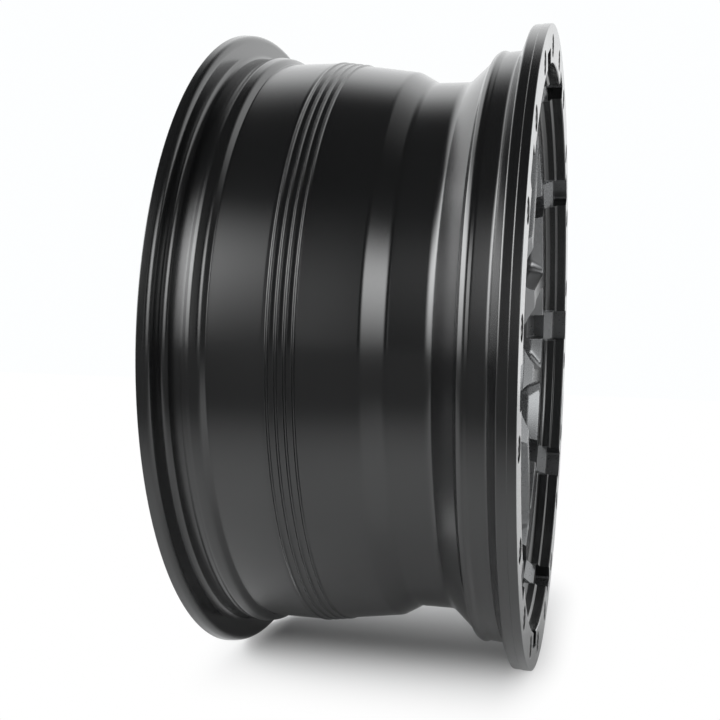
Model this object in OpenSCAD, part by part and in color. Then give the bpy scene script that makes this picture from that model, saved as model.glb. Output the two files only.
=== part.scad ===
// One-piece cast alloy road wheel: plain outer ring with bolts and notches, five pairs of spokes.
// Millimetres, +Z up. The axle runs along Y through the origin and the street side faces -Y.
// Inside the modules the axle is Z and the street side is +Z; stand() turns the result upright.

/* [Rim] */
// Diameter over the two rim flanges
flange_d = 471.6; // [380:0.2:600]
// Width over the two flanges
rim_w = 227.2; // [150:0.2:330]
// Height of the flanges over the bead seats
flange_h = 17.5; // [14:0.1:20]
// Width of the street-side flange at its top
flange_w = 12; // [9:0.5:14]
// Angle by which the street-side flange's tyre side leans outwards down to the bead seat
flange_lean = 22; // [5:0.5:25]
// Small step down in the street-side flange, towards the tyre
flange_step = 0.4; // [0.1:0.1:1]
// Distance of that step from the ring's face
flange_step_at = 5.4; // [3:0.1:7]
// Width of the back flange, whose tyre side is square to the axle
back_flange_w = 8.7; // [8:0.1:13]
// Distance from each flange's outer face to the crest of the safety hump
hump_at = 33.8; // [30:0.1:38]
// Step down from the bead seats to the barrel behind the back hump
barrel_drop = 4.9; // [2:0.1:10]
// Further step down of the barrel at the top of the slope into the well
front_drop = 8; // [2:0.1:12]
// Depth of the well, the deepest part of the rim, below the barrel
well_depth = 16.1; // [10:0.1:30]
// Distance from the back flange to the top of the slope into the well
slope_at = 130; // [90:1:200]
// Distance from the back flange to the start of the well
well_at = 144.5; // [100:0.5:220]
// Depth below the ring's face of the well's street-side end
well_end = 55; // [45:0.5:80]
// Depth below the ring's face where the street-side slope reaches its top
shelf_at = 38.6; // [30:0.1:60]
// Thickness of the barrel wall
wall = 6.6; // [4:0.1:12]

/* [Barrel ribs] */
// Number of thin ribs around the barrel
rib_count = 4; // [0:1:8]
// Distance from the back flange to the first rib
rib_at = 74.6; // [40:0.1:120]
// Distance from one rib to the next
rib_pitch = 5.4; // [3:0.1:12]
// Height of a rib over the barrel
rib_h = 1; // [0.3:0.1:3]
// Width of a rib at its foot
rib_w = 2.8; // [1:0.1:6]

/* [Outer ring] */
// Width of the flat ring on the street side, from its outer edge to its inner edge
ring_w = 26.8; // [15:0.1:50]
// Depth of the ring's inner edge before the first small step
ring_edge = 8; // [3:0.5:20]
// Step between the ring's inner edge and the lip wall below it
lip_step = 1.5; // [0.5:0.1:5]
// Depth of the spoke faces below the ring's face
lip_depth = 19; // [8:0.5:60]
// Fillet between the lip wall and the ledge that the spokes reach
lip_fillet = 5; // [1:0.5:12]
// Width of the ledge between the lip wall and the wall that the windows open to
ledge_w = 20.5; // [8:0.5:60]
// Width of the long bevel on the wall that the windows open to
window_bevel = 4.5; // [0.5:0.5:8]
// Depth below the ring's face where that bevel ends
window_bevel_end = 31; // [26:0.5:40]

/* [Notches] */
// Number of notches around the ring, one for each window
notch_count = 10; // [4:1:20]
// Width of a notch in the ring
notch_w = 27; // [10:0.5:50]
// Width of the ramp below the notch
ramp_w = 25; // [10:0.5:48]
// Reach of a notch into the ring from its inner edge
notch_reach = 11; // [3:0.5:20]
// Depth of the notch below the ring's face
notch_depth = 11.5; // [4:0.5:18]
// Width of the channel that runs on from the notch into the window wall
channel_w = 22; // [8:0.5:40]
// Depth of the channel's floor behind the window wall
channel_cut = 15; // [3:0.5:18]
// Depth below the ring's face where the channel's floor ends
channel_end = 28.5; // [20:0.5:45]

/* [Ring bolts] */
// Number of bolts around the ring
bolt_count = 20; // [8:1:40]
// Distance of the bolts' centres from the ring's outer edge
bolt_inset = 15.3; // [10:0.1:25]
// Diameter of the sunk seat around a bolt's head
bolt_seat_d = 16; // [8:0.5:24]
// Depth of that seat
bolt_seat_depth = 3.4; // [1:0.1:6]
// Thread diameter of a bolt
bolt_d = 6; // [4:1:10]
// Depth of the threaded hole below the seat
bolt_hole_depth = 6.2; // [4:0.1:12]

/* [Spokes] */
// Number of spoke pairs
pair_count = 5; // [3:1:8]
// Distance of a spoke's centre line from the pair's middle, measured at the axle
spoke_gap = 21.6; // [5:0.1:50]
// Angle by which a spoke leans away from the pair's middle
spoke_splay = 7.3; // [0:0.1:20]
// Width of the flat on a spoke's face
spoke_face_w = 11; // [5:0.5:40]
// Width of the bevel on the side towards the pair's middle
bevel_in = 9; // [0:0.5:20]
// Width of the bevel on the other side
bevel_out = 3.5; // [0:0.5:20]
// Depth of the bevels beside the face
spoke_bevel = 9; // [2:0.5:20]
// Growth in width of each side from the bevels to the spoke's back
spoke_draft = 3; // [0:0.5:10]
// Radius of the window corners where the spokes meet the rim
corner_r = 9; // [2:0.5:20]
// Radius where the spoke faces turn down to the hub
spoke_turn_r = 99; // [60:1:150]
// Depth of a spoke's back below the ring's face, where it meets the rim
spoke_back = 47; // [30:0.5:100]
// Width of the groove along a spoke's back
groove_w = 11; // [4:0.5:30]
// Depth of that groove
groove_depth = 13; // [2:0.5:25]

/* [Hub] */
// Distance from the wheel's middle plane to the mounting face, towards the street
offset_et = 35; // [-50:1:60]
// Diameter of the mounting face
pad_d = 152; // [120:1:200]
// Radius of the hub's face, where the spokes rise from it
hub_r = 83; // [60:1:130]
// Radius of the sloped skirt around the hub's face
skirt_r = 90; // [85:1:140]
// Distance of the round window ends inside a pair from the axle
scoop_in_at = 84.5; // [60:0.5:130]
// Distance of the round window ends between two pairs from the axle
scoop_out_at = 85; // [60:0.5:130]
// Depth of the hub's face below the ring's face
hub_depth = 34; // [15:0.5:100]
// Diameter of the centre bore
bore_d = 73.1; // [54:0.1:110]
// Number of wheel nuts
lug_count = 5; // [4:1:8]
// Diameter of the circle through the wheel nuts
lug_pcd = 114.3; // [98:0.1:170]
// Diameter of a wheel stud's hole
lug_hole_d = 14.6; // [12:0.1:20]
// Diameter of the socket's pocket around a nut
lug_pocket_d = 30; // [24:0.5:40]
// Metal left below the nut's conical seat
lug_floor = 16; // [8:0.5:40]

/* [Valve] */
// Diameter of the valve hole
valve_d = 11.3; // [8:0.1:16]
// Diameter of the sunk seat on the valve hole's street side
valve_seat_d = 20; // [14:0.5:30]
// Metal left around the valve hole
valve_wall = 5; // [3:0.1:8]

/* [Centre cap] */
// Diameter of the cap's face
cap_d = 66; // [40:0.5:120]
// Diameter of the hole that the cap's legs snap into
cap_bore_d = 59; // [36:0.5:110]
// Depth of the hub's centre boss below the ring's face
boss_depth = 30; // [10:0.5:90]
// Height of the cap's rim over its seat
cap_rim_h = 8; // [4:0.5:14]
// Height of the dome over the cap's rim
cap_dome = 2; // [0:0.5:6]
// Length of the snap legs behind the cap's seat
cap_leg = 15; // [11:0.5:30]
// Number of snap legs
cap_legs = 6; // [3:1:12]
// Clearance around the cap and its legs
cap_gap = 0.3; // [0.1:0.05:1]
// Wire diameter of the spring ring inside the legs
ring_wire_d = 2; // [1:0.1:4]

/* [Stance] */
// Turn of the wheel about its axle as it stands
spin = 6.6; // [-180:0.1:180]

/* [Hidden] */
$fn = 96;
black = [0.06, 0.06, 0.065];
steel = [0.16, 0.16, 0.17];
face = rim_w / 2;
back = -rim_w / 2;
flange_r = flange_d / 2;
bead_r = flange_r - flange_h;
barrel_r = bead_r - barrel_drop;
barrel_front_r = barrel_r - front_drop;
well_r = barrel_r - well_depth;
ring_r = flange_r - ring_w;
lip_r = ring_r - lip_step;
window_r = lip_r - ledge_w;
window_low_r = window_r - window_bevel;
notch_r = ring_r + notch_reach;
ramp_mid = max(lip_depth - lip_fillet - 0.3, notch_depth + 0.2);
ramp_top_r = lip_r - 0.1 + (ramp_mid - notch_depth) * (lip_fillet + 0.3) / (lip_depth + 0.3 - ramp_mid);
channel_r = window_r + channel_cut;
bolt_ring_r = flange_r - bolt_inset;
taper = tan(5);
hump_foot = hump_at - 2.6;
front_top_r = flange_r - flange_step;
front_round = 1.6;
front_fillet = 3;
back_round = 6.5;
back_fillet = 6;
shelf_r = barrel_r - 0.4;
pair_turn = 360 / pair_count;
notch_turn = 360 / notch_count;
pad_z = offset_et;
seat_z = pad_z + lug_floor;
hub_z = face - hub_depth;
boss_z = face - boss_depth;
boss_r = cap_d / 2 + 7;
cap_seat_z = boss_z - cap_rim_h;
groove_z = cap_seat_z - cap_leg - 0.6;
groove_top_z = groove_z + 6;
cap_step_z = groove_z - 3;
wire_z = groove_z + 3.5;
slope_top_z = face - shelf_at;
slope_foot_z = face - well_end;
valve_turn = -3 * notch_turn;
leg_r = cap_bore_d / 2 - cap_gap;
leg_in_r = leg_r - 3;

// Stands the finished piece upright with its street side towards -Y
module stand() {
    rotate([90, 0, 0]) rotate([0, 0, spin]) children();
}

// Points of an arc around (cx, cz) from angle a0 to angle a1
function arc(cx, cz, r, a0, a1, n) = [
    for (i = [0:n])
        let (a = a0 + (a1 - a0) * i / n)
            [cx + r * cos(a), cz + r * sin(a)]
];

// Tyre side of one flange with its bead seat and safety hump, from its outer face inwards, as
// [radius, distance from that face]. The flange has width w and radius top_r at its top, its side
// leans by the given angle, and the points in step lie between its outer corner and its top
function flange_side(w, lean, top_r, top_round, fillet, step) =
    let (half_turn = tan((90 - lean) / 2))
    let (seat_at = w + (top_r - bead_r) * tan(lean) + fillet * half_turn)
    let (crest = bead_r - taper * (hump_foot - seat_at) + 1.2)
        concat(
            [[flange_r - 0.6, 0], [flange_r, 0.6]],
            step,
            arc(top_r - top_round, w - top_round * half_turn, top_round, 0, 90 - lean, 4),
            arc(bead_r + fillet, seat_at, fillet, -90 - lean, -180, 4),
            [
                [crest - 1.2, hump_foot],
                [crest - 0.2, hump_at - 1],
                [crest - 0.1, hump_at + 0.8],
                [crest - 1.6, hump_at + 2.6]
            ]
        );

// The two flanges: a stepped, leaning one on the street side and a square one at the back
function front_flange() = flange_side(flange_w, flange_lean, front_top_r, front_round, front_fillet,
    [[flange_r, flange_step_at], [front_top_r, flange_step_at + flange_step]]);
function back_flange() = flange_side(back_flange_w, 0, flange_r, back_round, back_fillet, []);

// Barrel radius at a distance from the back flange
function barrel_at(s) = s < rib_at - 3 ? barrel_r
    : barrel_r - (barrel_r - barrel_front_r) * (s - rib_at + 3) / (slope_at - rib_at + 3);

// The thin ribs, each a small flat-topped ridge
function ribs() = [
    for (i = [0:1:rib_count - 1])
        let (s = rib_at + i * rib_pitch, r = barrel_at(s))
            each [
                [r, s - rib_w / 2],
                [r + rib_h, s - rib_w / 6],
                [r + rib_h, s + rib_w / 6],
                [r, s + rib_w / 2]
            ]
];

// Turns distances from the back flange into heights along the axle
function from_back(pts) = [for (p = pts) [p[0], back + p[1]]];

// Turns distances from the street-side face into heights, in reverse order
function from_face(pts) = [for (i = [len(pts) - 1:-1:0]) [pts[i][0], face - pts[i][1]]];

// Tyre side of the whole rim, from the back flange to the street side
function rim_outside() = concat(
    from_back(back_flange()),
    from_back([[barrel_r, hump_at + 6], [barrel_r, rib_at - 3]]),
    from_back(ribs()),
    from_back([
        [barrel_front_r + 0.3, slope_at - 2],
        [barrel_front_r - 0.6, slope_at + 1],
        [well_r + 0.9, well_at - 2.4],
        [well_r, well_at]
    ]),
    [
        [well_r, slope_foot_z - 2],
        [well_r + 1, slope_foot_z + 1],
        [shelf_r - 1.4, slope_top_z - 1.8],
        [shelf_r, slope_top_z + 0.6]
    ],
    from_face(front_flange())
);

// Axle side of the rim, from the street-side face to the back flange
function rim_inside() = concat(
    [
        [ring_r + 0.8, face],
        [ring_r, face - 0.8],
        [ring_r, face - ring_edge],
        [lip_r, face - ring_edge - lip_step]
    ],
    arc(lip_r - lip_fillet, face - lip_depth + lip_fillet, lip_fillet, 0, -90, 4),
    arc(window_r + 2, face - lip_depth - 2, 2, 90, 180, 3),
    [
        [window_low_r, face - window_bevel_end],
        [window_low_r, face - spoke_back],
        [well_r - wall, slope_foot_z - 2],
        [well_r - wall, back + well_at - 3],
        [barrel_front_r - wall, back + slope_at - 3],
        [barrel_r - wall, back + rib_at - 3],
        [barrel_r - wall, back + hump_at + 6],
        [bead_r - wall - 2, back + back_flange_w + 17],
        [bead_r - wall - 1.6, back + back_flange_w + 5],
        [bead_r - wall - 0.2, back + back_flange_w + 1],
        [flange_r - back_flange_w - 0.4, back + 1.5],
        [flange_r - back_flange_w + 1.6, back]
    ]
);

module rim() {
    rotate_extrude() polygon(concat(rim_outside(), rim_inside()));
}

// Solid of revolution that holds the spokes: flat faces, a turn down to the hub, a sloped back
module spoke_envelope() {
    rotate_extrude() polygon([
        [hub_r - 25, hub_z - 3],
        [hub_r - 2, hub_z - 3],
        [spoke_turn_r - 11, face - lip_depth - 7],
        [spoke_turn_r, face - lip_depth],
        [window_r + 4, face - lip_depth],
        [window_r + 4, face - spoke_back + 2],
        [window_r - 8, face - spoke_back - 1],
        [hub_r + 30, pad_z + 16],
        [hub_r, pad_z + 5],
        [hub_r - 25, pad_z + 5]
    ]);
}

// Distances of a spoke's two sides from its centre line below the bevels, inner side first
function body_sides() = [-spoke_face_w / 2 - bevel_in, spoke_face_w / 2 + bevel_out];

// Cross-section of a spoke: narrow flat face, a wide and a narrow bevel, drafted sides
module spoke_section() {
    half = spoke_face_w / 2;
    body = body_sides();
    polygon([
        [body[0] - spoke_draft, pad_z],
        [body[0], face - lip_depth - spoke_bevel],
        [-half, face - lip_depth],
        [-half, face],
        [half, face],
        [half, face - lip_depth],
        [body[1], face - lip_depth - spoke_bevel],
        [body[1] + spoke_draft, pad_z]
    ]);
}

// Repeats its children for both spokes of every pair, X along the spoke, +Y away from the pair
module each_spoke() {
    for (i = [0:pair_count - 1], side = [0, 1])
        rotate([0, 0, i * pair_turn]) mirror([0, side, 0])
            translate([0, spoke_gap, 0]) rotate([0, 0, spoke_splay]) children();
}

// Turns a cross-section so that linear_extrude runs it along +X
module along_x() {
    rotate([90, 0, 90]) children();
}

// Distance along a spoke of a circle that touches both the spoke's side at y and the window wall
function corner_at(y, r) =
    let (b = spoke_gap * sin(spoke_splay))
    let (c = y * y + spoke_gap * spoke_gap + 2 * spoke_gap * y * cos(spoke_splay))
        -b + sqrt(b * b - c + (window_low_r - r) * (window_low_r - r));

// Metal in the corner between a spoke's side and the window wall, left by a round cutter.
// The cutter bites 0.3 mm past both, so that the corner meets them at a clear angle
module window_corner(side) {
    edge = body_sides()[side < 0 ? 0 : 1];
    y = edge + side * (corner_r - 0.3);
    x = corner_at(y, corner_r - 0.3);
    out = atan2(y * cos(spoke_splay) + x * sin(spoke_splay) + spoke_gap,
        x * cos(spoke_splay) - y * sin(spoke_splay)) - spoke_splay;
    translate([0, 0, face - spoke_back + 2])
        linear_extrude(height = spoke_back - lip_depth - 2.5) difference() {
            polygon([
                [x, edge - side],
                [window_r + 2, edge - side],
                [x + (corner_r + 3) * cos(out), y + (corner_r + 3) * sin(out)],
                [x, y]
            ]);
            translate([x, y]) circle(corner_r);
        }
}

module spokes() {
    intersection() {
        spoke_envelope();
        each_spoke() along_x() translate([0, 0, hub_r - 30])
            linear_extrude(height = window_r) spoke_section();
    }
    each_spoke() {
        window_corner(-1);
        window_corner(1);
    }
}

// Grooves that lighten the backs of the spokes
module spoke_grooves() {
    intersection() {
        rotate_extrude() polygon([
            [hub_r + 14, pad_z - 20],
            [hub_r + 14, pad_z + 10 + groove_depth],
            [hub_r + 30, pad_z + 16 + groove_depth],
            [window_r - 12, face - spoke_back - 2 + groove_depth],
            [window_r - 12, pad_z - 20]
        ]);
        each_spoke() along_x() translate([(bevel_out - bevel_in - groove_w) / 2, 0, hub_r])
            linear_extrude(height = window_r - hub_r)
                translate([0, pad_z - 20]) square([groove_w, face]);
    }
}

module hub() {
    rotate_extrude() polygon([
        [0, pad_z],
        [pad_d / 2, pad_z],
        [pad_d / 2 + 1, pad_z + 1],
        [hub_r, pad_z + 7],
        [skirt_r, pad_z + 11],
        [skirt_r, hub_z - 12],
        [hub_r, hub_z - 3],
        [hub_r - 3, hub_z],
        [boss_r + 1.6, hub_z],
        [boss_r, boss_z + 1],
        [boss_r - 1, boss_z],
        [0, boss_z]
    ]);
}

// Round scoops that end the windows in the hub's skirt, one in each pair and one between pairs.
// Each is as wide as the gap between its two spokes, so both sides run into it smoothly
module scoops() {
    inner = spoke_gap * cos(spoke_splay) + body_sides()[0];
    lean = pair_turn / 2 - spoke_splay;
    outer = -spoke_gap * cos(spoke_splay) - body_sides()[1];
    r_in = (scoop_in_at * sin(spoke_splay) + inner) / (1 - sin(spoke_splay));
    r_out = (scoop_out_at * sin(lean) + outer) / (1 - sin(lean));
    for (i = [0:pair_count - 1]) rotate([0, 0, i * pair_turn]) {
        translate([scoop_in_at + r_in, 0, pad_z - 1]) cylinder(r = r_in + 0.3, h = face);
        rotate([0, 0, pair_turn / 2]) translate([scoop_out_at + r_out, 0, pad_z - 1])
            cylinder(r = r_out + 0.3, h = face);
    }
}

// A bar of the given width across the wheel's radius, from points [radius, depth below the ring]
module radial_bar(width, pts) {
    rotate([90, 0, 0]) linear_extrude(height = width, center = true)
        polygon([for (p = pts) [p[0], face - p[1]]]);
}

// Lower part of the flat ramp below a notch, which fills the fillet there
module notch_ramp() {
    radial_bar(ramp_w, [
        [lip_r + 2, ramp_mid],
        [lip_r - 0.1, ramp_mid],
        [lip_r - lip_fillet - 0.4, lip_depth + 0.3],
        [lip_r + 2, lip_depth + 0.3]
    ]);
}

// One notch: slot in the ring, upper part of the ramp in the lip wall, channel in the window wall
module notch() {
    radial_bar(notch_w, [
        [lip_r - 6, -1],
        [notch_r, -1],
        [notch_r, notch_depth],
        [lip_r - 6, notch_depth]
    ]);
    radial_bar(ramp_w, [
        [lip_r - 3, notch_depth - 1],
        [ramp_top_r, notch_depth - 1],
        [ramp_top_r, notch_depth],
        [lip_r - 0.1, ramp_mid],
        [lip_r - 3, ramp_mid]
    ]);
    radial_bar(channel_w, [
        [window_low_r - 4, lip_depth - 4],
        [channel_r, lip_depth - 4],
        [channel_r, channel_end],
        [window_low_r - 1, channel_end + 5.5],
        [window_low_r - 4, channel_end + 5.5]
    ]);
}

// Seat and threaded hole of one ring bolt
module bolt_hole() {
    translate([bolt_ring_r, 0, face - bolt_seat_depth]) {
        cylinder(d = bolt_seat_d, h = bolt_seat_depth + 1);
        translate([0, 0, -bolt_hole_depth]) cylinder(d = bolt_d, h = bolt_hole_depth + 1);
    }
}

// Stud hole, conical nut seat and socket pocket of one wheel nut
module lug_hole() {
    translate([lug_pcd / 2, 0, 0]) {
        translate([0, 0, pad_z - 1]) cylinder(d = lug_hole_d, h = lug_floor + 3);
        translate([0, 0, seat_z])
            cylinder(r1 = lug_hole_d / 2, r2 = lug_hole_d / 2 + 5, h = 5 / tan(30));
        translate([0, 0, seat_z + 5 / tan(30)]) cylinder(d = lug_pocket_d, h = face);
    }
}

// Pocket between two stud holes in the mounting face
module pad_pocket() {
    half = 15;
    r0 = bore_d / 2 + 9;
    r1 = pad_d / 2 - 8;
    translate([0, 0, pad_z - 1]) linear_extrude(height = 15)
        polygon([
            for (i = [0:4]) let (a = half * (i / 2 - 1)) [r1 * cos(a), r1 * sin(a)],
            for (i = [4:-1:0]) let (a = half * (i / 2 - 1) * 0.8) [r0 * cos(a), r0 * sin(a)]
        ]);
}

// Valve hole through the slope beside the well, with its sunk seat on the street side
module valve_hole() {
    mid_r = (well_r + shelf_r) / 2;
    mid_z = (slope_foot_z + slope_top_z) / 2;
    lean = atan2(shelf_r - well_r - 2.4, slope_top_z - slope_foot_z - 2.8);
    translate([mid_r, 0, mid_z]) rotate([0, lean - 90, 0]) {
        translate([0, 0, -4]) cylinder(d = valve_d, h = window_r / 5);
        translate([0, 0, valve_wall]) cylinder(d = valve_seat_d, h = window_r / 5);
    }
}

module hub_bore() {
    translate([0, 0, pad_z - 1]) cylinder(d = bore_d, h = cap_step_z - pad_z + 1);
    translate([0, 0, pad_z - 0.01]) cylinder(r1 = bore_d / 2 + 1.5, r2 = bore_d / 2, h = 1.5);
    translate([0, 0, pad_z]) cylinder(d = cap_bore_d, h = face);
    translate([0, 0, groove_z]) cylinder(d = cap_bore_d + 4, h = groove_top_z - groove_z);
    translate([0, 0, cap_seat_z]) cylinder(d = cap_d + 2 * cap_gap, h = face);
}

module wheel() {
    color(black) stand() difference() {
        union() {
            rim();
            spokes();
            for (i = [0:notch_count - 1]) rotate([0, 0, i * notch_turn]) notch_ramp();
            difference() {
                hub();
                scoops();
            }
        }
        spoke_grooves();
        hub_bore();
        for (i = [0:notch_count - 1]) rotate([0, 0, i * notch_turn]) notch();
        for (i = [0:bolt_count - 1]) rotate([0, 0, (i + 0.5) * 360 / bolt_count]) bolt_hole();
        for (i = [0:lug_count - 1]) rotate([0, 0, i * 360 / lug_count]) {
            lug_hole();
            rotate([0, 0, 180 / lug_count]) pad_pocket();
        }
        rotate([0, 0, valve_turn]) valve_hole();
    }
}

// One button-head screw with a six-sided socket
module ring_bolt() {
    head_h = bolt_seat_depth - 0.4;
    head_d = bolt_seat_d - 3;
    difference() {
        union() {
            rotate_extrude($fn = 32) polygon([
                [0, 0],
                [head_d / 2, 0],
                [head_d / 2, head_h * 0.4],
                [head_d / 2 - 0.9, head_h * 0.75],
                [head_d / 2 - 2.4, head_h],
                [0, head_h]
            ]);
            translate([0, 0, 0.6 - bolt_hole_depth])
                cylinder(d = bolt_d - 0.2, h = bolt_hole_depth, $fn = 32);
        }
        translate([0, 0, head_h - 2]) cylinder(d = 4.6, h = 3, $fn = 6);
    }
}

module ring_bolts() {
    color(steel) stand()
        for (i = [0:bolt_count - 1])
            rotate([0, 0, (i + 0.5) * 360 / bolt_count])
                translate([bolt_ring_r, 0, face - bolt_seat_depth]) ring_bolt();
}

// Cap face with a low dome, and snap legs whose hooks catch in the groove of the hub's hole
module centre_cap() {
    color(black) stand() {
        rotate_extrude() polygon([
            [0, boss_z + cap_dome - 5.5],
            [leg_in_r - 2, boss_z - 4.5],
            [leg_in_r, cap_seat_z],
            [cap_d / 2, cap_seat_z],
            [cap_d / 2, boss_z - 1.4],
            [cap_d / 2 - 1.4, boss_z],
            [cap_d / 2 - 6, boss_z + cap_dome / 2],
            [0, boss_z + cap_dome]
        ]);
        intersection() {
            rotate_extrude() polygon([
                [leg_in_r, cap_seat_z + 1],
                [leg_in_r, wire_z + ring_wire_d / 2 + 0.1],
                [leg_in_r + 0.9, wire_z + ring_wire_d / 2 + 0.1],
                [leg_in_r + 0.9, wire_z - ring_wire_d / 2 - 0.1],
                [leg_in_r, wire_z - ring_wire_d / 2 - 0.1],
                [leg_in_r, groove_z + 0.6],
                [leg_r - 1, groove_z + 0.6],
                [leg_r + 1.4, groove_top_z - cap_gap - 1.2],
                [leg_r + 1.4, groove_top_z - cap_gap],
                [leg_r, groove_top_z - cap_gap],
                [leg_r, cap_seat_z + 1]
            ]);
            for (i = [0:cap_legs - 1])
                rotate([0, 0, i * 360 / cap_legs])
                    translate([0, -6, 0]) cube([cap_d, 12, face]);
        }
    }
}

// Spring wire ring that keeps the cap's legs pressed outwards
module cap_spring_ring() {
    color(steel) stand()
        rotate_extrude() translate([leg_in_r + 0.8 - ring_wire_d / 2, wire_z])
            circle(d = ring_wire_d, $fn = 32);
}

wheel();
ring_bolts();
centre_cap();
cap_spring_ring();
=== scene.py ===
# Alloy wheel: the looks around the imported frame. Metres, axle along Y, street side towards -Y.
import math
import bpy
import bmesh
from mathutils import Matrix, Vector


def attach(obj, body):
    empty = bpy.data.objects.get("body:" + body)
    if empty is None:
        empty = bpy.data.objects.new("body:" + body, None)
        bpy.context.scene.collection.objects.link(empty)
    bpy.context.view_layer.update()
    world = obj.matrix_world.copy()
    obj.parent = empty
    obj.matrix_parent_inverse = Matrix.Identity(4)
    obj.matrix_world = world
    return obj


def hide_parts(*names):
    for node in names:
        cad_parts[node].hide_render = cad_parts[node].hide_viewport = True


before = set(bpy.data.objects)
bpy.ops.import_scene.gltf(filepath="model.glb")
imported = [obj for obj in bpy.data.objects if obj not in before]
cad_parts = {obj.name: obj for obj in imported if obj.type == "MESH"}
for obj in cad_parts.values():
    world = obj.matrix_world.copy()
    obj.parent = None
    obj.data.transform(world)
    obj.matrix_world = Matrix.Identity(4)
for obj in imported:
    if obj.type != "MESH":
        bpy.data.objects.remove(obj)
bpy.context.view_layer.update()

# the pieces' sizes are in millimetres and degrees, the stage's and the camera's places in metres;
# a piece is modelled with its axle along Z and then stood up
mm = 0.001
stanceTurn = 6.6  # how far the spokes are turned about the axle
smoothUpTo = 32  # edges that bend less than this are shaded smooth


def deselectAll():
    if bpy.context.mode != "OBJECT":
        bpy.ops.object.mode_set(mode="OBJECT")
    bpy.ops.object.select_all(action="DESELECT")


def activate(piece):
    deselectAll()
    piece.select_set(True)
    bpy.context.view_layer.objects.active = piece


def applyPlace(piece):
    activate(piece)
    bpy.ops.object.transform_apply(location=True, rotation=True, scale=True)


def startPiece(name, add, **settings):
    deselectAll()
    add(**settings)
    piece = bpy.context.object
    piece.name = name
    return piece


def joined(parts):
    deselectAll()
    for part in parts:
        part.select_set(True)
    bpy.context.view_layer.objects.active = parts[0]
    bpy.ops.object.join()
    return bpy.context.object


def turnOutwards():
    # turns all faces outwards and leaves edit mode
    bpy.ops.mesh.select_all(action="SELECT")
    bpy.ops.mesh.normals_make_consistent(inside=False)
    bpy.ops.object.mode_set(mode="OBJECT")


def combine(piece, tool, operation="DIFFERENCE", solver="MANIFOLD"):
    activate(piece)
    cut = piece.modifiers.new("cut", "BOOLEAN")
    cut.operation = operation
    cut.solver = solver
    cut.object = tool
    bpy.ops.object.modifier_apply(modifier=cut.name)
    bpy.data.objects.remove(tool)


def copyAround(piece, count, first=0.0, name="copies"):
    # copies a piece around the axle, each copy with its own mesh, and joins them
    copies = []
    for i in range(count):
        activate(piece)
        bpy.ops.object.duplicate()
        copy = bpy.context.object
        copy.rotation_euler = (0, 0, math.radians(first + 360 * i / count))
        applyPlace(copy)
        copies.append(copy)
    bpy.data.objects.remove(piece)
    whole = joined(copies)
    whole.name = name
    return whole


def onCircle(r, turn, x=0.0, y=0.0):
    return Vector((x + r * math.cos(turn), y + r * math.sin(turn)))


def roundedLine(corners):
    # each corner is (r, z, fillet radius); returns the line with its corners rounded, in metres
    straight, sideShare, arcStep = 0.02, 0.49, math.radians(15)
    line = []
    for i, (x, y, r) in enumerate(corners):
        here = Vector((x, y))
        before = Vector(corners[i - 1][:2])
        after = Vector(corners[(i + 1) % len(corners)][:2])
        a = (before - here).normalized()
        b = (after - here).normalized()
        turn = math.pi - a.angle(b)
        if r <= 0 or turn < straight:
            line.append(here)
            continue
        # a fillet takes less than half of the shorter side
        reach = r * math.tan(turn / 2)
        reach = min(reach, sideShare * (before - here).length, sideShare * (after - here).length)
        r = reach / math.tan(turn / 2)
        centre = here + (a + b).normalized() * (r / math.cos(turn / 2))
        first = here + a * reach - centre
        sweep = (here + b * reach - centre).angle_signed(first)
        steps = max(2, math.ceil(abs(turn) / arcStep))
        for k in range(steps + 1):
            t = sweep * k / steps
            line.append(centre + Vector((first.x * math.cos(t) - first.y * math.sin(t),
                                         first.x * math.sin(t) + first.y * math.cos(t))))
    return [(p.x * mm, p.y * mm) for p in line]


def drawLine(name, points, closed=True):
    # draws a line through 3-D points by extruding one vertex, stays in edit mode; a closed line gets a face
    piece = startPiece(name, bpy.ops.mesh.primitive_plane_add, size=0.01)
    bpy.ops.object.mode_set(mode="EDIT")
    bpy.ops.mesh.merge(type="CENTER")
    at = points[0]
    bpy.ops.transform.translate(value=at)
    for p in points[1:]:
        move = [new - old for new, old in zip(p, at)]
        bpy.ops.mesh.extrude_vertices_move(TRANSFORM_OT_translate={"value": move})
        at = p
    bpy.ops.mesh.select_all(action="SELECT")
    if closed:
        bpy.ops.mesh.edge_face_add()
    return piece


def spinProfile(name, line, steps, closed=True):
    # spins a line of (r, z) about the axle; an open line starts and ends on the axle
    mergeWithin = 1e-6
    piece = drawLine(name, [(r, 0, z) for r, z in line], closed)
    if closed:
        bpy.ops.mesh.delete(type="ONLY_FACE")
    bpy.ops.mesh.select_all(action="SELECT")
    bpy.ops.mesh.spin(steps=steps, angle=2 * math.pi, center=(0, 0, 0), axis=(0, 0, 1))
    bpy.ops.mesh.select_all(action="SELECT")
    bpy.ops.mesh.remove_doubles(threshold=mergeWithin)
    turnOutwards()
    return piece


def turnedCutter(name, corners, steps, place):
    # a round cutter spun about its own axis from (radius, height, fillet) corners, then placed
    piece = spinProfile(name, roundedLine(corners), steps, closed=False)
    piece.matrix_world = place
    applyPlace(piece)
    return piece


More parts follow.
